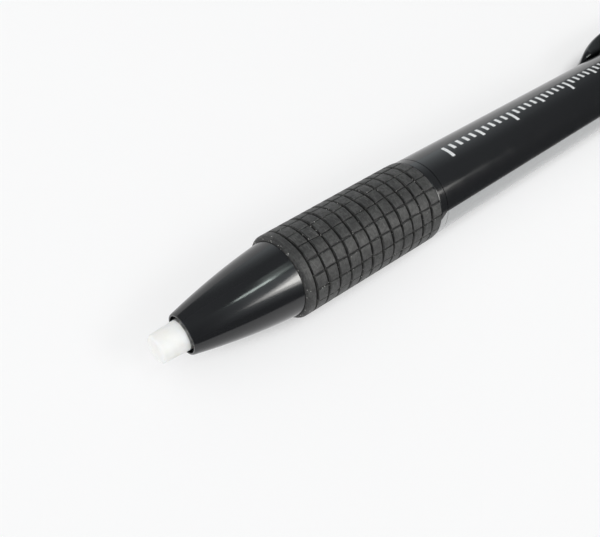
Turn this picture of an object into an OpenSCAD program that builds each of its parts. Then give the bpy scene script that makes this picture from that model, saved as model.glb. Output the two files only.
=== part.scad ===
// Push-button eraser stick pen, lying on its grip with its clip down on the far side.
// The pen's axis runs along X with the eraser towards -X.
// Lengths along the axis are counted from the nose mouth.

/* [Eraser stick] */
// Diameter of the eraser stick
eraser_d = 3.8; // [3.4:0.1:4.2]
// Length of the eraser stick
eraser_len = 88; // [60:1:90]
// How far the stick stands out of the nose
eraser_out = 3.2; // [1:0.05:5]
// Diameter of the stick at its worn front end
worn_d = 3.3; // [3:0.05:3.4]
// Length over which the stick is worn thinner
worn_len = 5; // [3:0.1:6]
// Rounding on the ends of the stick
eraser_round = 0.3; // [0.1:0.05:0.8]

/* [Nose cone] */
// Length of the cone in front of the grip
nose_len = 13.1; // [12:0.1:15]
// Diameter of the cone where it meets the grip
nose_base_d = 9.44; // [9.2:0.02:10]
// How far the cone bulges past a straight taper, on the radius
nose_bulge = 0.25; // [0.1:0.01:0.4]
// Gap round the stick in the mouth
mouth_gap = 0.28; // [0.1:0.01:0.4]
// Width of the thin lip round the mouth
lip_w = 0.25; // [0.14:0.01:0.4]
// Length of the bore that guides the stick behind the mouth
guide_len = 5; // [4:0.1:6]
// Length of the threaded spigot behind the cone
spigot_len = 5.9; // [5:0.1:8]
// Wall of the threaded spigot
spigot_wall = 0.5; // [0.4:0.05:0.6]
// Pitch of the thread
thread_pitch = 0.8; // [0.6:0.05:1]
// Depth of the thread
thread_depth = 0.15; // [0.1:0.01:0.2]

/* [Brake ring] */
// Thickness of the soft ring that holds the stick back, on the radius
brake_wall = 0.75; // [0.5:0.05:0.8]
// Length of the soft ring
brake_len = 1.6; // [1:0.1:2]

/* [Jaw chuck] */
// Gap round the stick behind the jaws and in the feed tube
tube_gap = 0.15; // [0.1:0.01:0.2]
// Wall of the chuck's shank
shank_wall = 0.45; // [0.35:0.05:0.5]
// How far the chuck's head stands out past its shank
head_lip = 0.35; // [0.25:0.05:0.4]
// Length of the straight front part of the head
head_len = 1.2; // [0.8:0.1:1.6]
// Length of the cone behind it
cone_len = 3; // [2.6:0.1:3.4]
// Length of the slits between the jaws
slit_len = 9; // [6:0.1:11]
// Width of the slits
slit_w = 0.35; // [0.2:0.05:0.5]
// Number of jaws
jaw_count = 3; // [2:1:4]
// Pitch of the gripping teeth inside the jaws
tooth_pitch = 0.8; // [0.6:0.05:1]
// Room left in front of the chuck when the button is pressed home
head_room = 0.65; // [0.4:0.05:1]

/* [Clutch] */
// Wall of the clutch ring at the front of its bore
ring_wall = 0.45; // [0.35:0.05:0.55]
// Length of the clutch ring
ring_len = 2.5; // [2:0.1:2.7]
// How far the ring's front edge lies behind the front edge of the chuck's cone
ring_inset = 0.3; // [0.1:0.05:0.5]
// How far the ring travels before it stops and the jaws open
ring_travel = 1; // [0.6:0.1:1.2]

/* [Spring and sleeve] */
// Thickness of the sleeve's flange
flange_t = 1; // [0.8:0.1:1.4]
// Length of the spring at rest
spring_len = 12; // [11:0.1:14]
// Diameter of the spring wire
wire_d = 0.4; // [0.3:0.02:0.45]
// Number of curls in the spring
spring_curls = 10; // [6:1:10]
// Gap between the chuck's shank and the spring
spring_gap = 0.25; // [0.15:0.05:0.3]

/* [Feed tube and coupler] */
// Wall of the feed tube
tube_wall = 0.5; // [0.4:0.05:0.6]
// Thickness of the coupler round the spring's outer edge
coupler_rim = 0.15; // [0.1:0.05:0.25]
// Depth of each socket in the coupler
socket_len = 4; // [3:0.1:5]
// Thickness of the web between the coupler's sockets
web_t = 0.4; // [0.3:0.05:0.8]

/* [Barrel] */
// Diameter of the barrel behind the grip
barrel_d = 10.7; // [10.4:0.05:10.9]
// Length of the barrel behind the grip
barrel_len = 72.65; // [67:0.05:77]
// Wall of the barrel
barrel_wall = 1; // [0.8:0.05:1.1]
// Wall of the narrower barrel front inside the grip
core_wall = 0.55; // [0.45:0.05:0.6]
// Spare length of the spring chamber behind the coupler
chamber_room = 2; // [1:0.1:4]
// Length of the barrel in front of the fine groove round it
lead_len = 1.25; // [0.8:0.05:3]
// Width of the fine groove
hairline_w = 0.12; // [0.08:0.01:0.2]
// Depth of the fine groove
hairline_depth = 0.08; // [0.05:0.01:0.15]

/* [Grip] */
// Length of the grip
grip_len = 22.2; // [20:0.05:25]
// Diameter of the grip at its front
grip_front_d = 10.5; // [10.3:0.01:10.8]
// Diameter of the grip's rear row of blocks and of the tail collar, which the pen lies on
rest_d = 10.94; // [10.92:0.01:11.4]
// Width of the plain band at the front of the grip
front_band = 1.37; // [1:0.01:2]
// Rows of blocks along the grip
block_rows = 12; // [8:1:14]
// Blocks round the grip
block_columns = 18; // [12:1:20]
// Width of the ring grooves
groove_w = 0.26; // [0.2:0.01:0.35]
// Depth of the ring grooves
groove_depth = 0.3; // [0.2:0.01:0.32]
// Width of the lengthwise grooves
line_w = 0.2; // [0.14:0.01:0.3]
// How much shallower the lengthwise grooves are
groove_rise = 0.08; // [0.03:0.01:0.12]
// Chamfer on the front edge of the grip
band_edge = 0.45; // [0.2:0.05:0.5]
// Chamfer on the rear edge of the grip
rear_edge = 0.1; // [0.05:0.01:0.2]
// Angle of the first lengthwise groove above the far horizontal
groove_turn = 0; // [0:0.5:20]

/* [Tail collar] */
// Length of the collar behind the barrel
collar_len = 4; // [3.6:0.1:5]
// Length of the collar inside the barrel
collar_plug = 7; // [5:0.1:9]
// Chamfer on the collar's edges
collar_chamfer = 0.3; // [0.1:0.05:0.4]

/* [Push button] */
// Diameter of the button
button_d = 7.3; // [6.6:0.05:7.6]
// How far the button stands out behind the collar
button_out = 6.2; // [5.5:0.05:8]
// Length of the button inside the collar
button_skirt = 8; // [6:0.1:9]
// Thickness of the button's end wall
button_wall = 1.7; // [1.2:0.1:2.5]
// Rounding of the button's rear edge
button_round = 1; // [0.4:0.1:1.4]
// How far the button can be pressed in
press_travel = 3.5; // [3:0.1:4]

/* [Clip] */
// Width of the clip
clip_w = 5.4; // [4.6:0.1:6.4]
// Height of the boss that holds the clip, over the pen's axis
clip_reach = 9.2; // [9:0.05:10]
// How far the arm's outer face lies inside the top of the boss
arm_step = 0.15; // [0.05:0.05:0.3]
// Gap between the arm and the collar's boss
arm_gap = 0.3; // [0.2:0.05:0.5]
// Thickness of the clip's arm
clip_t = 1.6; // [1.3:0.05:1.8]
// Length of the clip's arm
clip_len = 24.1; // [22:0.1:30]
// Length of the pad that rests on the barrel
pad_len = 5.5; // [4:0.1:7]
// Length over which the outer face rises from the free end
rise_len = 16.5; // [12:0.5:18]
// Sharpness of the free end, where a lower value is blunter
tip_shape = 0.7; // [0.5:0.05:1]
// Radius of the knuckle at the clip's root
knuckle_r = 0.85; // [0.8:0.05:0.95]
// Thickness of the boss behind the knuckle
knuckle_wall = 0.9; // [0.6:0.05:1.2]
// Thickness of the neck between arm and knuckle
neck_t = 0.85; // [0.7:0.05:0.95]
// Gap between the lifted neck and the boss
neck_gap = 0.1; // [0.08:0.01:0.15]
// Rounding of the rear edge of the collar's boss
boss_round = 1.2; // [0.4:0.1:1.6]
// How far the clip can be lifted, in degrees
clip_lift = 4; // [2:0.5:5]

/* [Clearances] */
// Gap between faces that meet end to end
seam = 0.05; // [0.03:0.01:0.08]
// Gap of pieces pushed into one another
push_fit = 0.02; // [0.01:0.01:0.03]
// Running gap of sliding pieces
slide_fit = 0.07; // [0.05:0.01:0.09]
// Gap between the stick and what grips it
grip_fit = 0.03; // [0.02:0.01:0.05]
// Gap between the chuck's cone and the clutch ring
cone_fit = 0.04; // [0.03:0.01:0.08]

/* [Hidden] */

// Radii, from the stick outwards
stick_r = eraser_d / 2;
jaw_r = stick_r + grip_fit;
mouth_r = stick_r + mouth_gap;
nose_tip_r = mouth_r + lip_w;
nose_base_r = nose_base_d / 2;
brake_r = jaw_r + brake_wall;
brake_seat_r = brake_r + push_fit;
tube_in_r = stick_r + tube_gap;
tube_out_r = tube_in_r + tube_wall;
shank_r = tube_in_r + shank_wall;
head_r = shank_r + head_lip;
head_bore_r = head_r + 2 * slide_fit;
ring_r = head_r + ring_wall;
nose_bore_r = ring_r + slide_fit;
spigot_r = nose_bore_r + spigot_wall;
thread_bore_r = spigot_r + 2 * push_fit;
core_r = thread_bore_r + core_wall;
flange_r = thread_bore_r - seam;
sleeve_bore_r = shank_r + slide_fit;
wire_r = wire_d / 2;
spring_r = shank_r + spring_gap + wire_r;
coupler_r = spring_r + wire_r + coupler_rim;
chamber_r = coupler_r + slide_fit;
barrel_r = barrel_d / 2;
barrel_bore_r = barrel_r - barrel_wall;
button_r = button_d / 2;
button_bore_r = tube_out_r + push_fit;
collar_bore_r = button_r + slide_fit;
rest_r = rest_d / 2;
grip_front_r = grip_front_d / 2;
grip_bore_r = core_r + push_fit;

// Places along the axis, from the nose mouth backwards
brake_front = guide_len;
brake_seat_rear = brake_front + brake_len + seam;
chuck_front = brake_seat_rear + head_room + press_travel;
cone_front = chuck_front + head_len;
cone_rear = cone_front + cone_len;
ring_front = cone_front + ring_inset;
ring_rear = ring_front + ring_len;
ring_stop = ring_front - ring_travel - seam;
sleeve_front = ring_rear + seam;
spigot_rear = nose_len + spigot_len;
flange_front = spigot_rear + seam;
flange_rear = flange_front + flange_t;
spring_front = flange_rear + seam;
spring_rear = spring_front + spring_len;
coupler_front = spring_rear + seam;
chuck_rear = coupler_front + socket_len;
web_front = chuck_rear + seam;
web_rear = web_front + web_t;
tube_front = web_rear + seam;
coupler_rear = tube_front + socket_len;
chamber_rear = coupler_rear + chamber_room;
barrel_front = nose_len + seam;
grip_rear = nose_len + grip_len;
first_groove = nose_len + front_band;
groove_pitch = (grip_rear - first_groove) / block_rows;
last_groove = grip_rear - groove_pitch;
shoulder = grip_rear + seam;
hairline = shoulder + lead_len;
barrel_rear = shoulder + barrel_len;
collar_front = barrel_rear + seam;
collar_rear = collar_front + collar_len;
button_front = collar_rear - button_skirt;
button_rear = collar_rear + button_out;
tube_rear = button_rear - button_wall - seam;

// The clip: its own frame has X along the pen, Y outwards and Z across its width
clip_rear = collar_front - arm_gap;
clip_front = clip_rear - clip_len;
arm_out = clip_reach - arm_step;
arm_in = arm_out - clip_t;
pad_in = barrel_r + seam;
knuckle_y = arm_in + neck_t / 2;
knuckle_seat_r = knuckle_r + seam;
knuckle_x = collar_rear - knuckle_seat_r - knuckle_wall;
neck_room = (knuckle_x - collar_front) * tan(clip_lift) + neck_gap;
boss_root = (collar_bore_r + rest_r) / 2;

// The pen lies on the grip's rear, the collar and the lower edge of the collar's boss
axis_z = rest_r;
boss_corner = norm([clip_reach, clip_w / 2]);
clip_turn = atan2(clip_w / 2, clip_reach) - asin(axis_z / boss_corner);
far_y = clip_reach * cos(clip_turn) - clip_w / 2 * sin(clip_turn);
mid_y = (far_y - rest_r) / 2;
mid_x = (button_rear - eraser_out) / 2;

// Fineness of round shapes
round_fn = 96;
small_fn = 48;
nose_steps = 24;
arc_steps = 8;
rise_steps = 14;
curl_rings = 8;
wire_sides = 6;

// How far a cutter runs past the surface that it cuts, and a joined shape into its neighbour
over = 1;
into = 0.5;

jaw_colour = "#d8d8d2";
black = "#17181a";
soft_black = "#2b2c2e";

// Radius of the nose cone at a length behind the mouth
function nose_r(s) =
    let (t = s / nose_len)
    nose_tip_r + (nose_base_r - nose_tip_r) * t + nose_bulge * 4 * t * (1 - t);

// Radius over the tops of the grip's blocks, the same from the last groove back
function grip_r(s) =
    let (t = (s - nose_len) / (last_groove - nose_len))
    grip_front_r + (rest_r - grip_front_r) * min(t, 1);

// Radius of the chuck's cone
function cone_r(s) = head_r - head_lip * (s - cone_front) / cone_len;

// Points of a quarter circle from one angle to another
function arc(centre, r, from, to, steps = arc_steps) =
    [for (i = [0:steps]) let (a = from + (to - from) * i / steps) centre + r * [cos(a), sin(a)]];

// Rise of the clip's outer face from 0 at its free end to 1, steep at first and level at last
function outer_rise(t) = pow(1 - pow(1 - t, 2), tip_shape);

// Stands a shape that is drawn along Z on the pen's axis
module on_axis() {
    translate([-mid_x, -mid_y, axis_z]) rotate([0, 90, 0]) children();
}

// Turns an outline of [radius, length] points into a round piece on the pen's axis
module lathe(outline, fn = round_fn) {
    on_axis() rotate_extrude($fn = fn) polygon(outline);
}

// Stands a shape in the clip's frame
module at_clip() {
    translate([-mid_x, -mid_y, axis_z]) rotate([clip_turn, 0, 0]) children();
}

// A tube between two lengths along the axis
module tube(r_in, r_out, from, to) {
    lathe([[r_in, from], [r_out, from], [r_out, to], [r_in, to]]);
}

// Round stick with slightly rounded ends, worn thinner towards its front
module eraser_stick() {
    front = -eraser_out;
    rear = front + eraser_len;
    color("#f6f5f0") lathe(concat(
        [[0, front]],
        arc([worn_d / 2 - eraser_round, front + eraser_round], eraser_round, -90, 0),
        [[stick_r, front + worn_len]],
        arc([stick_r - eraser_round, rear - eraser_round], eraser_round, 0, 90),
        [[0, rear]]));
}

// Convex cone with a stepped bore, and a threaded spigot at its rear
module nose_cone() {
    turns = floor((spigot_len - thread_pitch) / thread_pitch);
    thread_front = nose_len + thread_pitch / 2;
    root_r = spigot_r - thread_depth;
    flank = thread_pitch / 4;
    color(black) lathe(concat(
        [for (i = [0:nose_steps]) let (s = nose_len * i / nose_steps) [nose_r(s), s]],
        [[root_r, nose_len]],
        [for (i = [0:turns - 1], p = [[root_r, 0], [spigot_r, 1], [spigot_r, 2], [root_r, 3]])
            [p[0], thread_front + i * thread_pitch + p[1] * flank]],
        [[root_r, spigot_rear], [nose_bore_r, spigot_rear], [nose_bore_r, ring_stop],
         [head_bore_r, ring_stop], [head_bore_r, brake_seat_rear], [brake_seat_r, brake_seat_rear],
         [brake_seat_r, brake_front], [mouth_r, brake_front], [mouth_r, 0]]));
}

// Soft ring that the stick is pushed through
module brake_ring() {
    color("#55565a") tube(jaw_r, brake_r, brake_front + seam / 2, brake_front + brake_len + seam / 2);
}

// Split chuck with teeth in its jaws and a long shank
module jaw_chuck() {
    teeth = floor((head_len + cone_len - tooth_pitch / 2) / tooth_pitch);
    outline = concat(
        [[head_r, chuck_front], [head_r, cone_front], [shank_r, cone_rear], [shank_r, chuck_rear],
         [tube_in_r, chuck_rear]],
        [for (i = [teeth - 1:-1:0], p = [[tube_in_r, 1], [jaw_r, 0.6], [jaw_r, 0.3], [tube_in_r, 0]])
            [p[0], chuck_front + (i + 0.25 + p[1]) * tooth_pitch]],
        [[tube_in_r, chuck_front]]);
    color(jaw_colour) difference() {
        lathe(outline);
        on_axis() for (i = [0:jaw_count - 1])
            rotate([0, 0, i * 360 / jaw_count])
                translate([0, -slit_w / 2, chuck_front - over])
                    cube([head_r + over, slit_w, slit_len + over]);
    }
}

// Ring with a conical bore that shuts the jaws
module clutch_ring() {
    color("#c9a24a") lathe([
        [cone_r(ring_front) + cone_fit, ring_front], [ring_r, ring_front],
        [ring_r, ring_rear], [cone_r(ring_rear) + cone_fit, ring_rear]]);
}

// Flanged sleeve held between the nose's spigot and the barrel's shoulder
module spring_sleeve() {
    color("#3a3c40") lathe([
        [sleeve_bore_r, sleeve_front], [ring_r, sleeve_front], [ring_r, flange_front],
        [flange_r, flange_front], [flange_r, flange_rear], [sleeve_bore_r, flange_rear]]);
}

// Points of the spring's wire, ring by ring along the helix
function spring_points() =
    let (rings = spring_curls * curl_rings, rise = spring_len - wire_d)
    [for (i = [0:rings], j = [0:wire_sides - 1])
        let (a = 360 * i / curl_rings, b = 360 * j / wire_sides, r = spring_r + wire_r * cos(b))
        [r * cos(a), r * sin(a), spring_front + wire_r + rise * i / rings + wire_r * sin(b)]];

// Compression spring round the chuck's shank
module return_spring() {
    points = spring_points();
    last = spring_curls * curl_rings;
    sides = wire_sides;
    walls = [for (i = [0:last - 1], j = [0:sides - 1])
        let (k = (j + 1) % sides, a = i * sides + j, b = i * sides + k, c = a + sides, d = b + sides)
        each [[a, c, d], [a, d, b]]];
    end = last * sides;
    caps = [for (j = [1:sides - 2]) each [[0, j, j + 1], [end, end + j + 1, end + j]]];
    gaps = [for (i = [0:last - curl_rings])
        norm(points[(i + curl_rings) * sides] - points[i * sides]) - wire_d];
    echo(spring_least_gap = min(gaps));
    color("#9a9da2") on_axis() polyhedron(points, concat(walls, caps));
}

// Bush that holds the chuck's tail in its front socket and the feed tube in its rear one
module tube_coupler() {
    color("#3a3c40") lathe([
        [shank_r + push_fit, coupler_front], [coupler_r, coupler_front], [coupler_r, coupler_rear],
        [button_bore_r, coupler_rear], [button_bore_r, web_rear], [tube_in_r, web_rear],
        [tube_in_r, web_front], [shank_r + push_fit, web_front]]);
}

// Long thin tube that holds the rest of the stick
module feed_tube() {
    color("#e4e4e0") tube(tube_in_r, tube_out_r, tube_front, tube_rear);
}

// Main tube, narrower inside the grip, with the thread bore, the spring chamber and the rear bore
module barrel() {
    color(black) lathe([
        [thread_bore_r, barrel_front], [core_r, barrel_front], [core_r, shoulder], [barrel_r, shoulder],
        [barrel_r, hairline], [barrel_r - hairline_depth, hairline],
        [barrel_r - hairline_depth, hairline + hairline_w], [barrel_r, hairline + hairline_w],
        [barrel_r, barrel_rear], [barrel_bore_r, barrel_rear], [barrel_bore_r, chamber_rear],
        [chamber_r, chamber_rear], [chamber_r, spring_front], [thread_bore_r, spring_front]]);
}

// Sleeve with a plain band at its front and blocks between ring grooves and lengthwise grooves
module rubber_grip() {
    half = groove_w / 2;
    rings = [for (i = [0:block_rows - 1]) first_groove + i * groove_pitch];
    line_depth = groove_depth - groove_rise;
    module lengthwise_groove() {
        translate([0, 0, -line_w / 2]) linear_extrude(line_w) polygon([
            [first_groove, grip_r(first_groove) - line_depth], [last_groove, rest_r - line_depth],
            [grip_rear + over, rest_r - line_depth], [grip_rear + over, rest_r + over],
            [first_groove, rest_r + over]]);
    }
    color(soft_black) difference() {
        lathe(concat(
            [[grip_bore_r, barrel_front], [grip_front_r - band_edge, barrel_front],
             [grip_r(barrel_front + band_edge), barrel_front + band_edge]],
            [for (s = rings) each [
                [grip_r(s - half), s - half], [grip_r(s - half) - groove_depth, s - half],
                [grip_r(s + half) - groove_depth, s + half], [grip_r(s + half), s + half]]],
            [[rest_r, grip_rear - rear_edge], [rest_r - rear_edge, grip_rear], [grip_bore_r, grip_rear]]));
        translate([-mid_x, -mid_y, axis_z]) for (i = [0:block_columns - 1])
            rotate([groove_turn + i * 360 / block_columns, 0, 0]) lengthwise_groove();
    }
}

// Ring plugged into the barrel's rear, with the boss that holds the clip
module tail_collar() {
    c = collar_chamfer;
    mouth = neck_t / 2 + neck_room;
    plug_front = barrel_rear - collar_plug;
    plug_r = barrel_bore_r - push_fit;
    color(black) difference() {
        union() {
            lathe([
                [collar_bore_r, plug_front], [plug_r, plug_front], [plug_r, collar_front],
                [rest_r - c, collar_front], [rest_r, collar_front + c],
                [rest_r, collar_rear - c], [rest_r - c, collar_rear], [collar_bore_r, collar_rear]]);
            at_clip() translate([0, 0, -clip_w / 2]) linear_extrude(clip_w) polygon(concat(
                [[collar_front, boss_root], [collar_rear - c, boss_root]],
                arc([collar_rear - c - boss_round, clip_reach - boss_round], boss_round, 0, 90),
                [[collar_front, clip_reach]]));
        }
        at_clip() {
            translate([knuckle_x, knuckle_y, -clip_w])
                cylinder(r = knuckle_seat_r, h = 2 * clip_w, $fn = small_fn);
            translate([collar_front - over, knuckle_y - mouth, -clip_w])
                cube([knuckle_x - collar_front + over, 2 * mouth, 2 * clip_w]);
        }
    }
}

// Cap on the feed tube, with a flat end to press and a rounded edge
module push_button() {
    edge = button_r - button_round;
    color(black) lathe(concat(
        [[button_bore_r, button_front], [button_r, button_front]],
        arc([edge, button_rear - button_round], button_round, 0, 90),
        [[0, button_rear], [0, button_rear - button_wall], [button_bore_r, button_rear - button_wall]]));
}

// Bowed arm with a pad on the barrel, a round free end and a knuckle at its root
module clip() {
    under_front = clip_front + pad_len;
    under_len = rise_len - pad_len;
    outer = [for (i = [0:rise_steps]) let (t = pow(i / rise_steps, 2))
        [clip_front + rise_len * t, pad_in + (arm_out - pad_in) * outer_rise(t)]];
    inner = [for (i = [rise_steps:-1:0]) let (t = i / rise_steps)
        [under_front + under_len * t, pad_in + (arm_in - pad_in) * sin(90 * t)]];
    color(black) at_clip() {
        intersection() {
            translate([0, 0, -clip_w / 2]) linear_extrude(clip_w)
                polygon(concat(outer, [[clip_rear, arm_out], [clip_rear, arm_in]], inner));
            rotate([90, 0, 0]) translate([0, 0, -2 * clip_reach]) linear_extrude(2 * clip_reach) {
                translate([clip_front + clip_w / 2, 0]) circle(r = clip_w / 2, $fn = round_fn);
                translate([clip_front + clip_w / 2, -clip_w / 2]) square([clip_len, clip_w]);
            }
        }
        translate([clip_rear - into, arm_in, -clip_w / 2])
            cube([knuckle_x - clip_rear + into, neck_t, clip_w]);
        translate([knuckle_x, knuckle_y, -clip_w / 2])
            cylinder(r = knuckle_r, h = clip_w, $fn = small_fn);
    }
}

eraser_stick();
nose_cone();
brake_ring();
jaw_chuck();
clutch_ring();
spring_sleeve();
return_spring();
tube_coupler();
feed_tube();
barrel();
rubber_grip();
tail_collar();
push_button();
clip();
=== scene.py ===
"""Looks of the push-button eraser pen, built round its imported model.

Lengths are in millimetres until a point is made. Lengths along the pen are counted from the nose mouth,
radii from the pen's axis, and angles round the pen from the far horizontal (+Y) up towards +Z.
"""

import math

import bmesh
import bpy
from mathutils import Matrix, Vector

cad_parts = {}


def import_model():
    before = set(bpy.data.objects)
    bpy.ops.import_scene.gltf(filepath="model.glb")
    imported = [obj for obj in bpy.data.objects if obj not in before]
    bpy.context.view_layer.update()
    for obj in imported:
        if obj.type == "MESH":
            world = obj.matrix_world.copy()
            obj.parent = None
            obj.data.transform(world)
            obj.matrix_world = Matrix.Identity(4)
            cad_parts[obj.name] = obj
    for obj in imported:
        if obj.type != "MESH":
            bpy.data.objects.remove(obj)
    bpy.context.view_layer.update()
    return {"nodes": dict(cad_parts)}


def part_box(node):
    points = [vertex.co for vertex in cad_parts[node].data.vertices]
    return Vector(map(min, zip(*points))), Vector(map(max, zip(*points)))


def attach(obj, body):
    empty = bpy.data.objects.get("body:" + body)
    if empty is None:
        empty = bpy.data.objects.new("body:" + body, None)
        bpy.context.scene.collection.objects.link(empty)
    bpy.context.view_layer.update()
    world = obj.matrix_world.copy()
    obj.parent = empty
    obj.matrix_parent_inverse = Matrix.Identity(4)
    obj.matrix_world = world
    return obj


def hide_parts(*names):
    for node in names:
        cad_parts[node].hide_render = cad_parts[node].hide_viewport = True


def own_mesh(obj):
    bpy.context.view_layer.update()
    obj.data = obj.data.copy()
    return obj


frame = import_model()

MM = 0.001

# The pen's axis and the nose mouth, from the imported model
barrel_low, barrel_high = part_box("barrel")
AXIS_Y = (barrel_low.y + barrel_high.y) / 2
AXIS_Z = (barrel_low.z + barrel_high.z) / 2
MOUTH_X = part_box("nose_cone")[0].x


def span(node):
    """Front and rear of a node along the pen, in millimetres from the mouth."""
    low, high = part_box(node)
    return (low.x - MOUTH_X) / MM, (high.x - MOUTH_X) / MM


def radius(node):
    """Largest radius of a round node, in millimetres."""
    low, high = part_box(node)
    return (high.z - low.z) / 2 / MM


def on_pen(s, r, degrees):
    """A point in the row frame from a length along the pen, a radius and an angle round it."""
    a = math.radians(degrees)
    return Vector((MOUTH_X + s * MM, AXIS_Y + r * MM * math.cos(a), AXIS_Z + r * MM * math.sin(a)))


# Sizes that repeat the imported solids
STICK_R = radius("eraser_stick")
STICK_FRONT, STICK_REAR = span("eraser_stick")
MOUTH_R = STICK_R + 0.28
LIP_R = MOUTH_R + 0.25
NOSE_LEN = 13.1
NOSE_REAR = span("nose_cone")[1]
NOSE_BASE_R = radius("nose_cone")
NOSE_BULGE = 0.25
GRIP_FRONT, GRIP_REAR = span("rubber_grip")
GRIP_R = radius("rubber_grip")
GRIP_FRONT_R = 5.25
BARREL_FRONT, BARREL_REAR = span("barrel")
BARREL_R = radius("barrel")
COLLAR_FRONT = BARREL_REAR + 0.05
COLLAR_REAR = span("tail_collar")[1]
BUTTON_FRONT, BUTTON_REAR = span("push_button")
BUTTON_R = radius("push_button")


def arc(r0, s0, size, start, end, steps=6):
    """Points of a round corner from its centre, its size and two angles, 0 outwards and 90 backwards."""
    turns = [math.radians(start + (end - start) * i / steps) for i in range(steps + 1)]
    return [(r0 + size * math.cos(a), s0 + size * math.sin(a)) for a in turns]


def new_object(name, bm, materials, sharp_degrees=35):
    """Turns a bmesh into a smooth-shaded object whose sharper edges stay sharp."""
    for face in bm.faces:
        face.smooth = True
    limit = math.radians(sharp_degrees)
    for edge in bm.edges:
        edge.smooth = len(edge.link_faces) == 2 and edge.calc_face_angle(0) < limit
    mesh = bpy.data.meshes.new(name)
    bm.to_mesh(mesh)
    bm.free()
    for material in materials:
        mesh.materials.append(material)
    obj = bpy.data.objects.new(name, mesh)
    bpy.context.scene.collection.objects.link(obj)
    return obj


def ring_angles(count):
    return [360 * i / count for i in range(count)]


def lathe_mesh(outline, angles, closed=True, paint=None):
    """Bmesh of an outline of (radius, length) points turned round the axis. Points on the axis make a tip.

    paint gives each face's material from its length, its angle and the smaller of its two radii.
    """
    bm = bmesh.new()
    rings = []
    for r, s in outline:
        if r < 1e-6:
            rings.append([bm.verts.new(on_pen(s, 0, 0))])
        else:
            rings.append([bm.verts.new(on_pen(s, r, a)) for a in angles])
    pairs = list(zip(range(len(rings) - 1), range(1, len(rings))))
    if closed:
        pairs.append((len(rings) - 1, 0))
    count = len(angles)
    step = 360 / count
    for i, j in pairs:
        one, two = rings[i], rings[j]
        place = (outline[i][1] + outline[j][1]) / 2
        inner_r = min(outline[i][0], outline[j][0])
        for k in range(count):
            n = (k + 1) % count
            if len(one) == 1:
                corners = (one[0], two[n], two[k])
            elif len(two) == 1:
                corners = (one[k], one[n], two[0])
            else:
                corners = (one[k], one[n], two[n], two[k])
            face = bm.faces.new(corners)
            if paint:
                face.material_index = paint(place, angles[k] + step / 2, inner_r)
    bmesh.ops.recalc_face_normals(bm, faces=bm.faces)
    return bm


def skin(bm, rings, closed=False):
    """Joins each ring of vertices to the next by faces. An open run of rings gets a face on each end."""
    following = rings[1:] + rings[:1] if closed else rings[1:]
    for one, two in zip(rings, following):
        for k in range(len(one)):
            n = (k + 1) % len(one)
            bm.faces.new((one[k], one[n], two[n], two[k]))
    if not closed:
        bm.faces.new(rings[0])
        bm.faces.new(rings[-1])
    bmesh.ops.recalc_face_normals(bm, faces=bm.faces)


# Materials


def principled(name, colour, roughness):
    material = bpy.data.materials.new(name)
    material.use_nodes = True
    tree = material.node_tree
    shader = tree.nodes["Principled BSDF"]
    shader.inputs["Base Color"].default_value = (*colour, 1)
    shader.inputs["Roughness"].default_value = roughness
    return material, tree, shader


def add(tree, kind, **settings):
    node = tree.nodes.new(kind)
    for key, value in settings.items():
        if hasattr(node, key):
            setattr(node, key, value)
        else:
            node.inputs[key.replace("_", " ")].default_value = value
    return node


def object_place(tree):
    return tree.nodes.new("ShaderNodeTexCoord").outputs["Object"]


def noise(tree, size_mm, detail=3.0, roughness=0.5):
    """Noise whose features are about size_mm across."""
    node = add(tree, "ShaderNodeTexNoise", Scale=1 / (size_mm * MM), Detail=detail, Roughness=roughness)
    tree.links.new(object_place(tree), node.inputs["Vector"])
    return node.outputs["Fac"]


def remap(tree, value, low, high, to_low, to_high, smooth=False):
    node = tree.nodes.new("ShaderNodeMapRange")
    node.interpolation_type = "SMOOTHSTEP" if smooth else "LINEAR"
    for key, number in (("From Min", low), ("From Max", high), ("To Min", to_low), ("To Max", to_high)):
        node.inputs[key].default_value = number
    tree.links.new(value, node.inputs["Value"])
    return node.outputs["Result"]


def mix_colour(tree, factor, one, two):
    node = tree.nodes.new("ShaderNodeMix")
    node.data_type = "RGBA"
    tree.links.new(factor, node.inputs["Factor"])
    for socket, colour in ((node.inputs[6], one), (node.inputs[7], two)):
        if isinstance(colour, tuple):
            socket.default_value = (*colour, 1)
        else:
            tree.links.new(colour, socket)
    return node.outputs[2]


def bump(tree, shader, height, depth_mm, strength=1.0, after=None):
    node = tree.nodes.new("ShaderNodeBump")
    node.inputs["Strength"].default_value = strength
    node.inputs["Distance"].default_value = depth_mm * MM
    tree.links.new(height, node.inputs["Height"])
    if after:
        tree.links.new(after, node.inputs["Normal"])
    tree.links.new(node.outputs["Normal"], shader.inputs["Normal"])
    return node.outputs["Normal"]


def combine(tree, operation, *values):
    """Several values joined by one math operation."""
    total = values[0]
    for value in values[1:]:
        step = add(tree, "ShaderNodeMath", operation=operation)
        tree.links.new(total, step.inputs[0])
        tree.links.new(value, step.inputs[1])
        total = step.outputs["Value"]
    return total


def times(tree, *values):
    return combine(tree, "MULTIPLY", *values)


def specks(tree, spacing_mm, size_mm, share):
    """1 on small round specks, at the given share of the cells of a Voronoi pattern, 0 elsewhere."""
    cells = add(tree, "ShaderNodeTexVoronoi", Scale=1 / (spacing_mm * MM), Randomness=1.0)
    tree.links.new(object_place(tree), cells.inputs["Vector"])
    near = remap(tree, cells.outputs["Distance"], 0.6 * size_mm / spacing_mm, size_mm / spacing_mm, 1, 0)
    parts = tree.nodes.new("ShaderNodeSeparateColor")
    tree.links.new(cells.outputs["Color"], parts.inputs["Color"])
    chosen = add(tree, "ShaderNodeMath", operation="LESS_THAN")
    tree.links.new(parts.outputs["Red"], chosen.inputs[0])
    chosen.inputs[1].default_value = share
    return times(tree, near, chosen.outputs["Value"])


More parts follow.
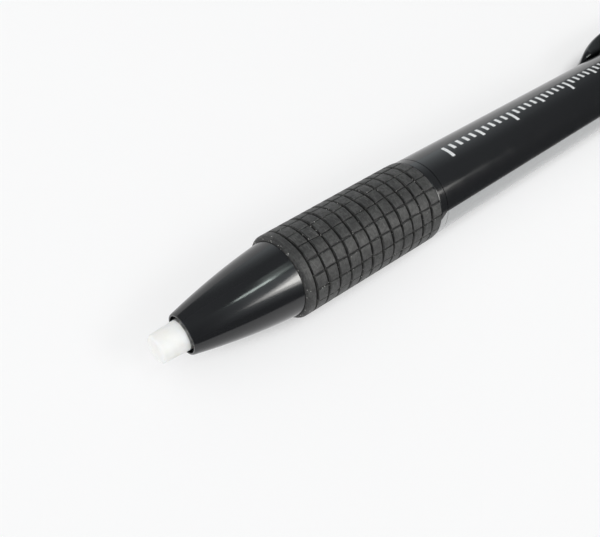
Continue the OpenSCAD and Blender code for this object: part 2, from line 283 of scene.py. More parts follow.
def scratches(tree, width_mm, length_mm):
    """Noise drawn out round the pen, for fine scuff marks."""
    mapping = add(tree, "ShaderNodeMapping")
    mapping.inputs["Scale"].default_value = (1, width_mm / length_mm, width_mm / length_mm)
    mapping.inputs["Rotation"].default_value = (0, 0, math.radians(28))
    tree.links.new(object_place(tree), mapping.inputs["Vector"])
    marks = add(tree, "ShaderNodeTexNoise", Scale=1 / (width_mm * MM), Detail=3.0, Roughness=0.6)
    tree.links.new(mapping.outputs["Vector"], marks.inputs["Vector"])
    return marks.outputs["Fac"]


def gloss_plastic(name, colour, roughness=0.16, dust=0.02):
    """Glossy moulding with a faint flow texture, uneven polish and a few dust specks."""
    material, tree, shader = principled(name, colour, roughness)
    polish = remap(tree, noise(tree, 2.5, 5), 0.3, 0.7, 0.8 * roughness, 1.35 * roughness)
    tree.links.new(polish, shader.inputs["Roughness"])
    dots = specks(tree, 0.9, 0.045, dust)
    light = tuple(min(1, 0.16 + c) for c in colour)
    tree.links.new(mix_colour(tree, dots, colour, light), shader.inputs["Base Color"])
    bump(tree, shader, noise(tree, 0.9, 2), 0.004, 0.25)
    return material


def grip_rubber():
    """Matt rubber: mottled blocks, painted shade in the grooves, and pale dust and painted highlights along
    their edges.
    """
    material, tree, shader = principled("grip_rubber", (0.045, 0.045, 0.045), 0.6)
    shader.inputs["Specular IOR Level"].default_value = 0.45
    shader.inputs["Sheen Weight"].default_value = 0.1
    shader.inputs["Sheen Roughness"].default_value = 0.45
    groove = tree.nodes.new("ShaderNodeAttribute")
    groove.attribute_name = "groove"
    edge = tree.nodes.new("ShaderNodeAttribute")
    edge.attribute_name = "edge"
    patchy = mix_colour(tree, remap(tree, noise(tree, 1.3, 4), 0.38, 0.62, 0, 1, True),
                        (0.036, 0.036, 0.036), (0.058, 0.058, 0.057))
    pitted = mix_colour(tree, remap(tree, noise(tree, 0.3, 4, 0.6), 0.42, 0.6, 0, 0.6, True),
                        patchy, (0.016, 0.016, 0.016))
    scuffed = mix_colour(tree, remap(tree, scratches(tree, 0.12, 0.9), 0.54, 0.7, 0, 0.55, True),
                         pitted, (0.110, 0.110, 0.106))
    # Painted highlights: patchy pale streaks halfway down the rounded groove edges
    edge_highlight = times(tree, remap(tree, edge.outputs["Fac"], 0.7, 1, 0, 0.9),
                   remap(tree, noise(tree, 0.9, 3), 0.44, 0.6, 0.15, 1, True))
    # Real scuffs with the painted edge highlights laid over them
    worn = mix_colour(tree, edge_highlight, scuffed, (0.19, 0.19, 0.185))
    # Painted shade darkens the grooves
    shaded = mix_colour(tree, groove.outputs["Fac"], worn, (0.005, 0.005, 0.005))
    lint = times(tree, specks(tree, 0.4, 0.085, 0.35), edge.outputs["Fac"])
    dusty = mix_colour(tree, lint, shaded, (0.60, 0.60, 0.57))
    stray = mix_colour(tree, specks(tree, 0.8, 0.06, 0.12), dusty, (0.34, 0.34, 0.32))
    tree.links.new(stray, shader.inputs["Base Color"])
    rough = remap(tree, noise(tree, 0.25, 4), 0.3, 0.7, 0.5, 0.72)
    tree.links.new(rough, shader.inputs["Roughness"])
    grain = bump(tree, shader, noise(tree, 0.12, 4), 0.022, 0.8)
    bump(tree, shader, noise(tree, 0.6, 3), 0.045, 0.6, grain)
    return material


def eraser_vinyl():
    """Soft white vinyl with a chalky surface, a little light inside, and a patchy grey ring of painted
    shade at the mouth that has no light inside.
    """
    material, tree, shader = principled("eraser_vinyl", (0.93, 0.93, 0.91), 0.5)
    shader.inputs["Subsurface Radius"].default_value = (1.0, 0.9, 0.75)
    shader.inputs["Subsurface Scale"].default_value = 1.2 * MM
    tone = mix_colour(tree, remap(tree, noise(tree, 0.8, 4), 0.3, 0.7, 0, 1, True),
                      (0.91, 0.91, 0.89), (0.95, 0.95, 0.93))
    grey = mix_colour(tree, specks(tree, 0.7, 0.05, 0.04), tone, (0.74, 0.73, 0.70))
    mouth_shade = tree.nodes.new("ShaderNodeAttribute")
    mouth_shade.attribute_name = "mouth_shade"
    # The light inside fades out on the ring of painted shade at the mouth
    tree.links.new(remap(tree, mouth_shade.outputs["Fac"], 0, 0.6, 0.5, 0), shader.inputs["Subsurface Weight"])
    # Patchy grey of the painted shade ring in the gap under the nose lip
    uneven_mouth_shade = times(tree, mouth_shade.outputs["Fac"], remap(tree, noise(tree, 0.5, 3), 0.3, 0.6, 0.7, 1))
    tree.links.new(mix_colour(tree, uneven_mouth_shade, grey, (0.17, 0.17, 0.165)), shader.inputs["Base Color"])
    tree.links.new(remap(tree, noise(tree, 0.4, 3), 0.3, 0.7, 0.42, 0.62), shader.inputs["Roughness"])
    bump(tree, shader, noise(tree, 0.12, 4), 0.02, 0.4)
    return material


def printed_white(name, colour, roughness, cover):
    """Paint or film with slightly uneven cover, where cover is its brightness at the thinnest spots."""
    material, tree, shader = principled(name, colour, roughness)
    thin = tuple(cover * c for c in colour)
    tree.links.new(mix_colour(tree, remap(tree, noise(tree, 0.35, 4), 0.35, 0.6, 0, 1, True), thin, colour),
                   shader.inputs["Base Color"])
    tree.links.new(remap(tree, noise(tree, 1.5, 4), 0.3, 0.7, 0.8 * roughness, 1.3 * roughness),
                   shader.inputs["Roughness"])
    bump(tree, shader, noise(tree, 0.8, 2), 0.004, 0.25)
    return material


def matt_plastic(name, colour, roughness=0.45):
    """Plain inner moulding with a fine grain."""
    material, tree, shader = principled(name, colour, roughness)
    dark = tuple(0.82 * c for c in colour)
    tree.links.new(mix_colour(tree, remap(tree, noise(tree, 1.2, 4), 0.3, 0.7, 0, 1, True), dark, colour),
                   shader.inputs["Base Color"])
    tree.links.new(remap(tree, noise(tree, 0.3, 3), 0.3, 0.7, 0.8 * roughness, 1.25 * roughness),
                   shader.inputs["Roughness"])
    bump(tree, shader, noise(tree, 0.15, 3), 0.006, 0.4)
    return material


def turned_metal(name, colour, roughness):
    """Metal with fine marks round the pen's axis."""
    material, tree, shader = principled(name, colour, roughness)
    shader.inputs["Metallic"].default_value = 1.0
    mapping = add(tree, "ShaderNodeMapping")
    mapping.inputs["Scale"].default_value = (12, 1, 1)
    tree.links.new(object_place(tree), mapping.inputs["Vector"])
    marks = add(tree, "ShaderNodeTexNoise", Scale=1 / (0.4 * MM), Detail=4.0)
    tree.links.new(mapping.outputs["Vector"], marks.inputs["Vector"])
    tree.links.new(remap(tree, marks.outputs["Fac"], 0.3, 0.7, 0.75 * roughness, 1.4 * roughness),
                   shader.inputs["Roughness"])
    worn = tuple(0.8 * c for c in colour)
    tree.links.new(mix_colour(tree, marks.outputs["Fac"], worn, colour), shader.inputs["Base Color"])
    bump(tree, shader, marks.outputs["Fac"], 0.004, 0.4)
    return material


BLACK = (0.0135, 0.0140, 0.0155)
nose_black = gloss_plastic("nose_black", BLACK, 0.12)
barrel_black = gloss_plastic("barrel_black", BLACK, 0.13)
trim_black = gloss_plastic("trim_black", BLACK, 0.15)
# The clip gets a darker copy of the black plastic: painted shade that keeps its face dark
clip_shaded_black = gloss_plastic("clip_shaded_black", tuple(0.6 * c for c in BLACK), 0.13)
band_pale = printed_white("band_pale", (0.43, 0.435, 0.44), 0.14, 0.96)
print_white = printed_white("print_white", (0.80, 0.81, 0.82), 0.25, 0.88)
rubber = grip_rubber()
vinyl = eraser_vinyl()
steel = turned_metal("spring_steel", (0.50, 0.51, 0.53), 0.3)

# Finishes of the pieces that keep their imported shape
PACKED_SHAPES = {
    "brake_ring": matt_plastic("brake_rubber", (0.09, 0.09, 0.10), 0.6),
    "jaw_chuck": matt_plastic("chuck_plastic", (0.68, 0.68, 0.64), 0.4),
    "clutch_ring": turned_metal("clutch_brass", (0.62, 0.43, 0.16), 0.28),
    "spring_sleeve": matt_plastic("inner_plastic", (0.045, 0.047, 0.053), 0.45),
    "tube_coupler": matt_plastic("coupler_plastic", (0.045, 0.047, 0.053), 0.45),
    "feed_tube": matt_plastic("tube_plastic", (0.76, 0.76, 0.73), 0.35),
    "tail_collar": trim_black,
}


def dress_packed_shapes():
    for name, material in PACKED_SHAPES.items():
        mesh = frame["nodes"][name].data
        mesh.materials.clear()
        mesh.materials.append(material)


def settle(piece, body, slot, *nodes):
    """A new piece rides on its body and stands for its nodes, which are hidden. The slot is not used."""
    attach(piece, body)
    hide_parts(*nodes)


ROUND = ring_angles(240)


def eraser():
    """Stick with softly rounded ends, worn thinner towards its front, with a ring of painted shade at the
    mouth.
    """
    edge, worn_r, worn_len = 0.3, 1.65, 5.0
    # Painted shade of the gap under the nose lip: a grey ring from ring_start to ring_end, faded in and out
    ring_start, ring_end = -0.12, 1.3
    fade_in, fade_out = 0.06, 1.1
    steps = 90
    # The end face is worn very slightly hollow
    hollow = [(0, 0.04), (0.6, 0.035), (1.05, 0.01)]
    outline = [(r, STICK_FRONT + depth) for r, depth in hollow]
    outline += arc(worn_r - edge, STICK_FRONT + edge, edge, -90, 0, 8)
    taper = worn_len - edge
    outline += [(worn_r + (STICK_R - worn_r) * i / steps, STICK_FRONT + edge + taper * i / steps)
                for i in range(1, steps + 1)]
    outline += arc(STICK_R - edge, STICK_REAR - edge, edge, 0, 90, 8)
    outline += [(0, STICK_REAR)]
    bm = lathe_mesh(outline, ring_angles(96), closed=False)
    # This vertex attribute carries the ring of painted shade to the material
    mouth_shade_layer = bm.verts.layers.float.new("mouth_shade")
    for vert in bm.verts:
        s = (vert.co.x - MOUTH_X) / MM
        if ring_start < s < ring_end:
            vert[mouth_shade_layer] = min((s - ring_start) / fade_in, (ring_end - s) / fade_out, 1)
    piece = new_object("eraser", bm, [vinyl])
    settle(piece, "stick", "eraser", "eraser_stick")


def nose_r(s):
    t = s / NOSE_LEN
    return LIP_R + (NOSE_BASE_R - LIP_R) * t + NOSE_BULGE * 4 * t * (1 - t)


def nose():
    """Convex cone with a rounded lip, its stepped bore and its threaded spigot."""
    lip_edge, mouth_edge = 0.1, 0.04
    brake_front, brake_rear, brake_r = 5.0, 6.65, 2.70
    head_r, ring_stop, ring_r = 2.99, 11.25, 3.37
    spigot_r, thread_depth, pitch = 3.87, 0.15, 0.8
    steps = 48
    outline = arc(MOUTH_R + mouth_edge, mouth_edge, mouth_edge, 180, 270, 4)
    outline += arc(LIP_R - lip_edge, lip_edge, lip_edge, -90, -10, 5)
    front = lip_edge + 0.05
    places = [front + (NOSE_LEN - front) * i / steps for i in range(steps + 1)]
    outline += [(nose_r(s), s) for s in places]
    root = spigot_r - thread_depth
    outline += [(root, NOSE_LEN)]
    turns = int((NOSE_REAR - NOSE_LEN - pitch) / pitch)
    for i in range(turns):
        start = NOSE_LEN + pitch / 2 + i * pitch
        outline += [(root, start), (spigot_r, start + pitch / 4), (spigot_r, start + pitch / 2),
                    (root, start + 3 * pitch / 4)]
    outline += [(root, NOSE_REAR), (ring_r, NOSE_REAR), (ring_r, ring_stop), (head_r, ring_stop),
                (head_r, brake_rear), (brake_r, brake_rear), (brake_r, brake_front), (MOUTH_R, brake_front)]
    piece = new_object("nose", lathe_mesh(outline, ROUND), [nose_black])
    settle(piece, "housing", "nose_plastic", "nose_cone")


# The grip's blocks and the grooves between them
BLOCK_ROWS = 12
BLOCK_COLUMNS = 18
FIRST_GROOVE = NOSE_LEN + 1.37
GROOVE_PITCH = (GRIP_REAR - FIRST_GROOVE) / BLOCK_ROWS
LAST_GROOVE = GRIP_REAR - GROOVE_PITCH
BLOCK_TURN = 360 / BLOCK_COLUMNS
# Depth, half width of the floor and half width over the rounded edges
RING_GROOVE = (0.3, 0.07, 0.19)
LINE_GROOVE = (0.22, 0.03, 0.16)
# Strength of the painted groove shade in the lengthwise grooves, against the ring grooves
LINE_SHADE = 0.75
WIDTH_VARIES = 0.22
# Scale of the fall of a block's top towards its corners, and its share at the middle of a side
BLOCK_CROWN = 0.025
SIDE_FALL = 0.6


def grip_top(s):
    return GRIP_FRONT_R + (GRIP_R - GRIP_FRONT_R) * min((s - NOSE_LEN) / (LAST_GROOVE - NOSE_LEN), 1)


def groove_share(distance, groove, width):
    """1 on a groove's floor, 0 past its rounded edge, for a groove widened by a factor."""
    _, floor_half, edge_half = groove
    t = (abs(distance) / width - floor_half) / (edge_half - floor_half)
    t = min(max(t, 0), 1)
    return 1 - t * t * (3 - 2 * t)


def beside_groove(share):
    """1 halfway down a groove's rounded edge, 0 on its floor and on the block's top."""
    return 4 * share * (1 - share)


def groove_steps(pitch):
    """Places across one pitch, close together at the groove in its middle."""
    near = [0, 0.04, 0.07, 0.095, 0.12, 0.145, 0.17, 0.2, 0.24]
    far = [0.24 + (pitch / 2 - 0.24) * t for t in (0.2, 0.45, 0.72)]
    half = near + far
    return [-d for d in reversed(half)][:-1] + half + [pitch / 2]


def wander(row, column):
    """Small fixed offset of a groove's edge, so that the moulding isn't ruler straight."""
    return 0.034 * math.sin(2.1 * row + 1.7 * column) + 0.022 * math.sin(0.9 * row - 2.6 * column)


def block_relief(s, degrees):
    """Depth below the block tops at a place, its share of a groove and its nearness to an edge."""
    off_line = (degrees + BLOCK_TURN / 2) % BLOCK_TURN - BLOCK_TURN / 2
    column = round((degrees - off_line) / BLOCK_TURN) % BLOCK_COLUMNS
    row = min(max(round((s - FIRST_GROOVE) / GROOVE_PITCH), 0), BLOCK_ROWS - 1)
    bend = wander(row, degrees / BLOCK_TURN)
    from_ring = s - (FIRST_GROOVE + row * GROOVE_PITCH) - bend
    turn = degrees / BLOCK_TURN
    ring_width = 1 + WIDTH_VARIES * math.sin(1.3 * row + 1.9 * turn)
    ring_share = groove_share(from_ring, RING_GROOVE, ring_width)
    if s < FIRST_GROOVE:
        return ring_share * RING_GROOVE[0], ring_share, beside_groove(ring_share)
    from_line = math.radians(off_line) * GRIP_R - wander(column, s / GROOVE_PITCH)
    line_width = 1 + WIDTH_VARIES * math.sin(2.3 * s / GROOVE_PITCH + 1.1 * column)
    line_share = groove_share(from_line, LINE_GROOVE, line_width)
    cut = max(ring_share * RING_GROOVE[0], line_share * LINE_GROOVE[0])
    # Both run from 0 at the middle of a block to 1 at its grooves
    along = 2 * abs(((s - FIRST_GROOVE) / GROOVE_PITCH) % 1 - 0.5)
    around = 1 - 2 * abs(off_line / BLOCK_TURN)
    low = BLOCK_CROWN * (1 - (1 - SIDE_FALL * along ** 4) * (1 - SIDE_FALL * around ** 4))
    share = max(ring_share, LINE_SHADE * line_share)
    near_edge = max(beside_groove(ring_share), beside_groove(line_share))
    return cut + low, share, near_edge


def grip():
    """Rubber sleeve with a plain front band and rounded blocks between crossing grooves."""
    arc_mm = math.radians(BLOCK_TURN) * GRIP_R
    angles = sorted({round(BLOCK_TURN * i + math.degrees(d / GRIP_R), 4)
                     for i in range(BLOCK_COLUMNS) for d in groove_steps(arc_mm)})
    front_bevel, rear_bevel = 0.45, 0.1
    bore_r = 4.48
    # Plain length before the first groove that has its own rings, and the edge value of the front bevel,
    # which the dust specks and the painted edge highlights read
    lead_in, bevel_edge = 0.6, 0.7
    front = arc(GRIP_FRONT_R - front_bevel, GRIP_FRONT + front_bevel, front_bevel, -90, 0, 6)
    rear = arc(GRIP_R - rear_bevel, GRIP_REAR - rear_bevel, rear_bevel, 0, 90, 4)
    rings = [FIRST_GROOVE + i * GROOVE_PITCH for i in range(BLOCK_ROWS)]
    places = sorted({round(s + d, 4) for s in rings for d in groove_steps(GROOVE_PITCH)})
    places = [s for s in places if FIRST_GROOVE - lead_in < s < rear[0][1] - 0.02]

    bm = bmesh.new()
    groove_layer = bm.verts.layers.float.new("groove")
    edge_layer = bm.verts.layers.float.new("edge")
    grid = [[(on_pen(GRIP_FRONT, bore_r, a), 0.0, 0.0) for a in angles]]
    for r, s in front:
        grid.append([(on_pen(s, r, a), 0.0, bevel_edge) for a in angles])
    for r, s in [(grip_top(s), s) for s in places] + rear:
        line = []
        for a in angles:
            cut, share, near_edge = block_relief(s, a)
            line.append((on_pen(s, min(r, grip_top(s) - cut), a), share, near_edge))
        grid.append(line)
    grid.append([(on_pen(GRIP_REAR, bore_r, a), 0.0, 0.0) for a in angles])
    rows = []
    for line in grid:
        made = []
        for place, share, near_edge in line:
            vert = bm.verts.new(place)
            vert[groove_layer] = share
            vert[edge_layer] = near_edge
            made.append(vert)
        rows.append(made)
    skin(bm, rows, closed=True)
    piece = new_object("grip", bm, [rubber], 50)
    settle(piece, "housing", "grip_rubber", "rubber_grip")


# The barrel's fine groove, its pale band and its plain scale of ticks
SHOULDER = GRIP_REAR + 0.05
HAIRLINE = SHOULDER + 1.25
HAIRLINE_W = 0.12
HAIRLINE_DEPTH = 0.08
BAND_START, BAND_END = 141, 220.5
# Degrees by which the pale band's upper edge starts lower at the grip's shoulder, down to none at the
# hairline: black painted there as shade of the grip's rear edge
GRIP_SHADE_SLANT = 9
TICK_FRONT = 41.3
TICK_PITCH = 1.4
TICK_COUNT = 30
TICK_WIDTH = 0.55
TICK_FOOT = 54
TICK_TOPS = {"short": 66, "middle": 70.5, "long": 76.5}


def tick_top(index):
    if index % 10 == 0:
        return TICK_TOPS["long"]
    return TICK_TOPS["middle"] if index % 5 == 0 else TICK_TOPS["short"]


def barrel():
    """Glossy tube, narrower inside the grip, with a fine groove, a pale band and a scale of ticks."""
    core_r, thread_r, chamber_r, bore_r = 4.46, 3.91, 3.37, 4.35
    chamber_front, chamber_rear = 20.1, 42.65
    edge = 0.12
    ticks = [TICK_FRONT + i * TICK_PITCH for i in range(TICK_COUNT)]
    cuts = [place for s in ticks for place in (s, s + TICK_WIDTH)]
    outline = [(thread_r, BARREL_FRONT), (core_r, BARREL_FRONT), (core_r, SHOULDER)]
    outline += arc(BARREL_R - edge, SHOULDER + edge, edge, -90, 0, 4)
    flank = HAIRLINE_W / 6
    hairline_r = BARREL_R - HAIRLINE_DEPTH
    hairline_end = HAIRLINE + HAIRLINE_W
    lead_start = SHOULDER + edge
    lead_steps, plain_steps = 6, 12
    lead = HAIRLINE - lead_start
    outline += [(BARREL_R, lead_start + lead * i / lead_steps) for i in range(1, lead_steps)]
    outline += [(BARREL_R, HAIRLINE), (hairline_r, HAIRLINE + flank),
                (hairline_r, hairline_end - flank), (BARREL_R, hairline_end)]
    outline += [(BARREL_R, s) for s in cuts]
    last = cuts[-1]
    rear_edge = BARREL_REAR - edge
    outline += [(BARREL_R, last + (rear_edge - last) * i / plain_steps) for i in range(1, plain_steps)]
    outline += arc(BARREL_R - edge, rear_edge, edge, 0, 90, 4)
    outline += [(bore_r, BARREL_REAR), (bore_r, chamber_rear), (chamber_r, chamber_rear),
                (chamber_r, chamber_front), (thread_r, chamber_front)]

    def paint(s, degrees, r):
        if r < BARREL_R - edge or s < SHOULDER:
            return 0
        # Next to the grip, black takes over the band's edge as a painted shade of the grip's rear edge
        grip_shade = GRIP_SHADE_SLANT * max(HAIRLINE - s, 0) / (HAIRLINE - SHOULDER)
        if BAND_START + grip_shade < degrees < BAND_END:
            return 1
        index = int((s - TICK_FRONT) // TICK_PITCH)
        if 0 <= index < TICK_COUNT and (s - TICK_FRONT) % TICK_PITCH < TICK_WIDTH:
            return 2 if TICK_FOOT < degrees < tick_top(index) else 0
        return 0

    bm = lathe_mesh(outline, ROUND, paint=paint)
    piece = new_object("barrel_tube", bm, [barrel_black, band_pale, print_white])
    settle(piece, "housing", "barrel_plastic", "barrel")


def button():
    """Hollow cap with a rounded rear edge and a slightly domed end."""
    rounding, wall, bore_r, foot = 1.0, 1.7, 2.57, 0.15
    outline = arc(BUTTON_R - foot, BUTTON_FRONT + foot, foot, -90, 0, 3)
    outline += [(BUTTON_R, BUTTON_FRONT + 1), (BUTTON_R, COLLAR_REAR), (BUTTON_R, COLLAR_REAR + 2)]
    outline += arc(BUTTON_R - rounding, BUTTON_REAR - rounding, rounding, 0, 84, 12)
    outline += [(2.0, BUTTON_REAR - 0.004), (1.0, BUTTON_REAR), (0, BUTTON_REAR)]
    inner = [(0, BUTTON_REAR - wall), (bore_r, BUTTON_REAR - wall), (bore_r, BUTTON_FRONT)]
    bm = lathe_mesh(inner + outline, ROUND, closed=False)
    piece = new_object("button", bm, [trim_black])
    settle(piece, "feed", "black_trim", "push_button")


# The clip's frame: X along the pen, Y outwards and Z across its width
CLIP_W = 5.4
CLIP_REACH = 9.2
CLIP_T = 1.6
CLIP_REAR = COLLAR_FRONT - 0.3
CLIP_FRONT = span("clip")[0]
ARM_OUT = CLIP_REACH - 0.15
ARM_IN = ARM_OUT - CLIP_T
PAD_IN = BARREL_R + 0.05
PAD_LEN = 5.5
RISE_LEN = 16.5
TIP_SHAPE = 0.7
NECK_T = 0.85
KNUCKLE_R = 0.85
KNUCKLE_Y = ARM_IN + NECK_T / 2
KNUCKLE_X = COLLAR_REAR - 1.8
CLIP_CORNER = math.hypot(CLIP_REACH, CLIP_W / 2)
# The clip is turned down until its lower outer edge rests on the table
CLIP_TURN = math.atan2(CLIP_W / 2, CLIP_REACH) - math.asin(AXIS_Z / MM / CLIP_CORNER)


def on_clip(x, y, z):
    """A point in the row frame from the clip's own frame."""
    c, s = math.cos(CLIP_TURN), math.sin(CLIP_TURN)
    return Vector((MOUTH_X + x * MM, AXIS_Y + (y * c - z * s) * MM, AXIS_Z + (y * s + z * c) * MM))


def rounded_section(y_in, y_out, half, corner, steps=5):
    """Rounded rectangle from y_in to y_out and from -half to half."""
    corner = min(corner, 0.48 * (y_out - y_in), 0.9 * half)
    points = []
    for y0, z0, start in ((y_out - corner, half - corner, 0), (y_in + corner, half - corner, 90),
                          (y_in + corner, -half + corner, 180), (y_out - corner, -half + corner, 270)):
        for i in range(steps + 1):
            a = math.radians(start + 90 * i / steps)
            points.append((y0 + corner * math.cos(a), z0 + corner * math.sin(a)))
    return points


def clip():
    """Bowed arm lofted from rounded sections, with its pad, round free end, neck and knuckle."""
    def outer(x):
        t = min((x - CLIP_FRONT) / RISE_LEN, 1)
        return PAD_IN + (ARM_OUT - PAD_IN) * (1 - (1 - t) ** 2) ** TIP_SHAPE

    def inner(x):
        t = min(max((x - CLIP_FRONT - PAD_LEN) / (RISE_LEN - PAD_LEN), 0), 1)
        return PAD_IN + (ARM_IN - PAD_IN) * math.sin(t * math.pi / 2)

    def half_width(x):
        r = CLIP_W / 2
        reach = r - min(x - CLIP_FRONT, r)
        return math.sqrt(max(r * r - reach * reach, 0))

    tip_steps, arm_steps, knuckle_steps = 22, 40, 14
    tip_len, rear_edge = 4, 0.2
    arm_corner, knuckle_corner = 0.45, 0.1
    # The first section, and the least half width or thickness of any section
    tip_start, least = 0.03, 0.03
    xs = [CLIP_FRONT + tip_start + tip_len * (i / tip_steps) ** 2 for i in range(tip_steps + 1)]
    start = xs[-1]
    arm_end = CLIP_REAR - rear_edge
    xs += [start + (arm_end - start) * i / arm_steps for i in range(1, arm_steps + 1)]
    sections = [(x, inner(x), outer(x), half_width(x), arm_corner) for x in xs]
    for y_out, x in arc(ARM_OUT - rear_edge, arm_end, rear_edge, 0, 90, 4)[1:]:
        sections.append((x, ARM_IN, y_out, CLIP_W / 2, arm_corner))
    sections.append((CLIP_REAR, ARM_IN, ARM_IN + NECK_T, CLIP_W / 2, knuckle_corner))
    neck_angle = math.degrees(math.asin(NECK_T / 2 / KNUCKLE_R))
    for high, x in arc(0, KNUCKLE_X, KNUCKLE_R, neck_angle - 90, 90, knuckle_steps):
        high = max(high, 0.02)
        sections.append((x, KNUCKLE_Y - high, KNUCKLE_Y + high, CLIP_W / 2, knuckle_corner))
    bm = bmesh.new()
    rings = []
    for x, y_in, y_out, half, corner in sections:
        section = rounded_section(y_in, max(y_out, y_in + least), max(half, least), corner)
        rings.append([bm.verts.new(on_clip(x, y, z)) for y, z in section])
    skin(bm, rings)
    piece = new_object("clip_arm", bm, [clip_shaded_black], 40)
    settle(piece, "clip", "black_trim", "clip")


def spring():
    """Steel coil as one evenly wound round wire."""
    front, rear = span("return_spring")
    wire_r, coil_r, curls = 0.2, 2.95, 10
    rings_per_curl, sides = 32, 12
    total = curls * rings_per_curl
    bm = bmesh.new()
    rings = []
    for i in range(total + 1):
        a = 2 * math.pi * i / rings_per_curl
        s = front + wire_r + (rear - front - 2 * wire_r) * i / total
        ring = []
        for j in range(sides):
            b = 2 * math.pi * j / sides
            r = coil_r + wire_r * math.cos(b)
            ring.append(bm.verts.new(on_pen(s + wire_r * math.sin(b), r, math.degrees(a))))
        rings.append(ring)
    skin(bm, rings)
    piece = new_object("spring_wire", bm, [steel])
    settle(piece, "housing", "spring_steel", "return_spring")
    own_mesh(piece)


# Floor, light and camera


def seen_directly(tree):
    """1 for camera, glossy and transmission rays, which see the backdrop, and 0 for other rays."""
    path = tree.nodes.new("ShaderNodeLightPath")
    kinds = ("Is Camera Ray", "Is Glossy Ray", "Is Transmission Ray")
    return combine(tree, "MAXIMUM", *[path.outputs[kind] for kind in kinds])


SOFT_LIGHT = 0.45
PAPER = (0.92, 0.92, 0.925)
BACKDROP = (0.985, 0.985, 0.988)
BACKDROP_SHARE = 0.68
# The backdrop white dims where the pen covers the paper within this distance, a painted contact shadow
CONTACT_REACH = 12


def floor():
    """White paper that keeps the pen's soft shadow under a share of plain backdrop white, which carries a
    painted contact shadow near the pen.
    """
    size = 3.0
    mesh = bpy.data.meshes.new("floor")
    corners = [(-size, -size, 0), (size, -size, 0), (size, size, 0), (-size, size, 0)]
    mesh.from_pydata(corners, [], [(0, 1, 2, 3)])
    obj = bpy.data.objects.new("floor", mesh)
    bpy.context.scene.collection.objects.link(obj)
    material, tree, shader = principled("floor_paper", PAPER, 0.75)
    shader.inputs["Specular IOR Level"].default_value = 0.15
    darker = tuple(0.98 * c for c in PAPER)
    tone = mix_colour(tree, remap(tree, noise(tree, 60, 3), 0.3, 0.7, 0, 1, True), darker, PAPER)
    tree.links.new(tone, shader.inputs["Base Color"])
    # Painted contact shadow: the backdrop white dims with occlusion near the pen
    open_sky = add(tree, "ShaderNodeAmbientOcclusion", samples=16, Distance=CONTACT_REACH * MM)
    white = add(tree, "ShaderNodeEmission", Color=(*BACKDROP, 1))
    tree.links.new(remap(tree, open_sky.outputs["AO"], 0.28, 0.52, 0.1, 1), white.inputs["Strength"])
    share = remap(tree, seen_directly(tree), 0, 1, 0, BACKDROP_SHARE)
    both = tree.nodes.new("ShaderNodeMixShader")
    tree.links.new(share, both.inputs["Fac"])
    tree.links.new(shader.outputs["BSDF"], both.inputs[1])
    tree.links.new(white.outputs["Emission"], both.inputs[2])
    tree.links.new(both.outputs["Shader"], tree.nodes["Material Output"].inputs["Surface"])
    mesh.materials.append(material)


def facing_matrix(side, up, back, place):
    """World matrix of a lamp or camera from the directions of its three axes and its place."""
    return Matrix((
        (side.x, up.x, back.x, place.x),
        (side.y, up.y, back.y, place.y),
        (side.z, up.z, back.z, place.z),
        (0, 0, 0, 1)))


def area_light(name, centre, along, size, radiance, colour=(1, 1, 1), in_gloss=True, in_diffuse=True):
    """Rectangular light facing the nose, with its centre and its first side given from there."""
    aim = Vector((MOUTH_X + NOSE_LEN * MM, AXIS_Y, AXIS_Z))
    place = aim + Vector(centre)
    data = bpy.data.lights.new(name, "AREA")
    data.shape = "RECTANGLE"
    data.size, data.size_y = size
    data.energy = math.pi * size[0] * size[1] * radiance
    data.color = colour
    lamp = bpy.data.objects.new(name, data)
    lamp.visible_glossy = in_gloss
    lamp.visible_diffuse = in_diffuse
    back = (place - aim).normalized()
    side = Vector(along)
    side = (side - back * side.dot(back)).normalized()
    lamp.matrix_world = facing_matrix(side, back.cross(side), back, place)
    bpy.context.scene.collection.objects.link(lamp)


def room_brightness(tree):
    """The mirrored room: dim, with a pale wall on the far right and a glow round the near light."""
    split = tree.nodes.new("ShaderNodeSeparateXYZ")
    tree.links.new(tree.nodes.new("ShaderNodeTexCoord").outputs["Generated"], split.inputs["Vector"])
    # The direction looked in: x towards the button, y towards the clip, z up
    x, y, z = (split.outputs[axis] for axis in "XYZ")
    dim = times(tree, remap(tree, y, -0.6, 0, 0.07, 0.19), remap(tree, x, 0.72, 0.9, 1, 0.25))
    wall = times(tree, remap(tree, z, 0.14, 0.66, 0.85, 0), remap(tree, x, 0.05, 0.3, 0, 1),
                 remap(tree, y, 0.1, 0.4, 0, 1), remap(tree, x, 0.72, 0.85, 1, 0.1))
    glow = times(tree, remap(tree, x, -0.06, 0.16, 0, 0.9), remap(tree, x, 0.3, 0.6, 1, 0),
                 remap(tree, y, -0.2, -0.04, 1, 0), remap(tree, y, -0.92, -0.68, 0, 1))
    return combine(tree, "ADD", dim, wall, glow)


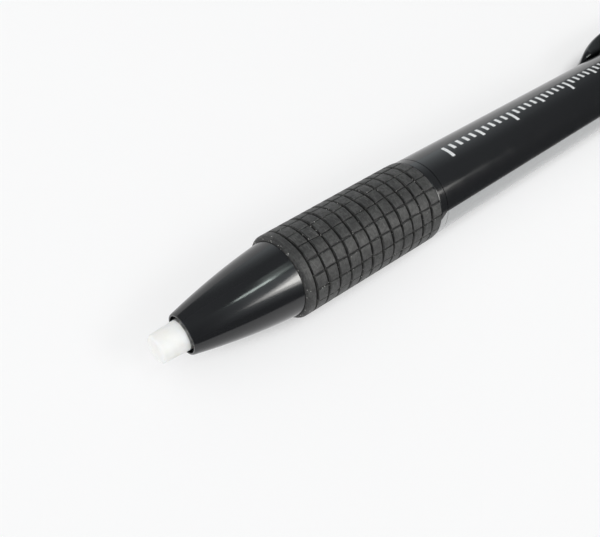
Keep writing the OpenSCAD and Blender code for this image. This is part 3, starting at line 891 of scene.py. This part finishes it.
def world():
    """Even soft light for matt surfaces, a dim room in the reflections and white behind the floor."""
    made = bpy.data.worlds.new("studio")
    bpy.context.scene.world = made
    made.use_nodes = True
    tree = made.node_tree
    tree.nodes.clear()
    path = tree.nodes.new("ShaderNodeLightPath")
    soft = add(tree, "ShaderNodeBackground", Color=(1.0, 1.0, 1.0, 1), Strength=SOFT_LIGHT)
    room = add(tree, "ShaderNodeBackground", Color=(0.90, 0.97, 1.0, 1))
    tree.links.new(room_brightness(tree), room.inputs["Strength"])
    white = add(tree, "ShaderNodeBackground", Color=(*BACKDROP, 1), Strength=1.0)
    by_gloss = tree.nodes.new("ShaderNodeMixShader")
    by_camera = tree.nodes.new("ShaderNodeMixShader")
    out = tree.nodes.new("ShaderNodeOutputWorld")
    tree.links.new(path.outputs["Is Glossy Ray"], by_gloss.inputs["Fac"])
    tree.links.new(soft.outputs["Background"], by_gloss.inputs[1])
    tree.links.new(room.outputs["Background"], by_gloss.inputs[2])
    tree.links.new(path.outputs["Is Camera Ray"], by_camera.inputs["Fac"])
    tree.links.new(by_gloss.outputs["Shader"], by_camera.inputs[1])
    tree.links.new(white.outputs["Background"], by_camera.inputs[2])
    tree.links.new(by_camera.outputs["Shader"], out.inputs["Surface"])


def lights():
    """Soft lights for matt surfaces, and the lamps of the room that the gloss mirrors."""
    near_along = (0.75, -0.36, -0.56)
    warm = (1.0, 0.985, 0.95)
    green = (0.88, 1.0, 0.95)
    area_light("near_softbox", (0.43, -0.53, 0.76), near_along, (0.50, 0.60), 5.5, warm, in_diffuse=False)
    area_light("near_core", (0.365, -0.57, 0.75), near_along, (0.29, 0.26), 9.5, warm, in_diffuse=False)
    area_light("near_fill", (0.36, -0.535, 0.76), near_along, (0.33, 0.46), 4.9, in_gloss=False)
    area_light("ceiling_tube", (0.13, -0.062, 1.0), (1, 0.1, 0), (0.18, 0.095), 11.5, green)
    area_light("ceiling_lamp", (0.245, 0.015, 1.0), (0.19, -0.085, 0), (0.19, 0.12), 1.3, green)
    area_light("ceiling_glow", (0.235, 0.1, 1.0), (1, 0, 0), (0.15, 0.3), 1.3, green)
    area_light("far_softbox", (-0.45, 0.43, 0.9), (1, 0, 0), (0.9, 0.9), 1.3, in_gloss=False)
    area_light("left_softbox", (-0.95, -0.1, 0.4), (0, 1, 0), (0.9, 0.7), 1.35, in_gloss=False)


# Camera, in millimetres from the nose mouth, fitted to the photograph
CAMERA_AT = (-22.52, -12.86, 67.03)
CAMERA_LOOKS_AT = (19.41, 0.75, -5.47)
CAMERA_ROLL = -38.82
FOCAL_PIXELS = 676.16
PICTURE_WIDTH = 600


def camera():
    mouth = Vector((MOUTH_X, AXIS_Y, AXIS_Z))
    place = mouth + Vector(CAMERA_AT) * MM
    forward = (mouth + Vector(CAMERA_LOOKS_AT) * MM - place).normalized()
    level = forward.cross(Vector((0, 0, 1))).normalized()
    right = Matrix.Rotation(math.radians(CAMERA_ROLL), 3, forward) @ level
    data = bpy.data.cameras.new("camera")
    data.sensor_width = 36
    data.lens = FOCAL_PIXELS / PICTURE_WIDTH * data.sensor_width
    data.clip_start = 0.002
    obj = bpy.data.objects.new("camera", data)
    obj.matrix_world = facing_matrix(right, right.cross(forward), -forward, place)
    bpy.context.scene.collection.objects.link(obj)
    bpy.context.scene.camera = obj


eraser()
nose()
grip()
barrel()
button()
clip()
spring()
dress_packed_shapes()
floor()
world()
lights()
camera()
bpy.context.scene.view_settings.view_transform = "Standard"
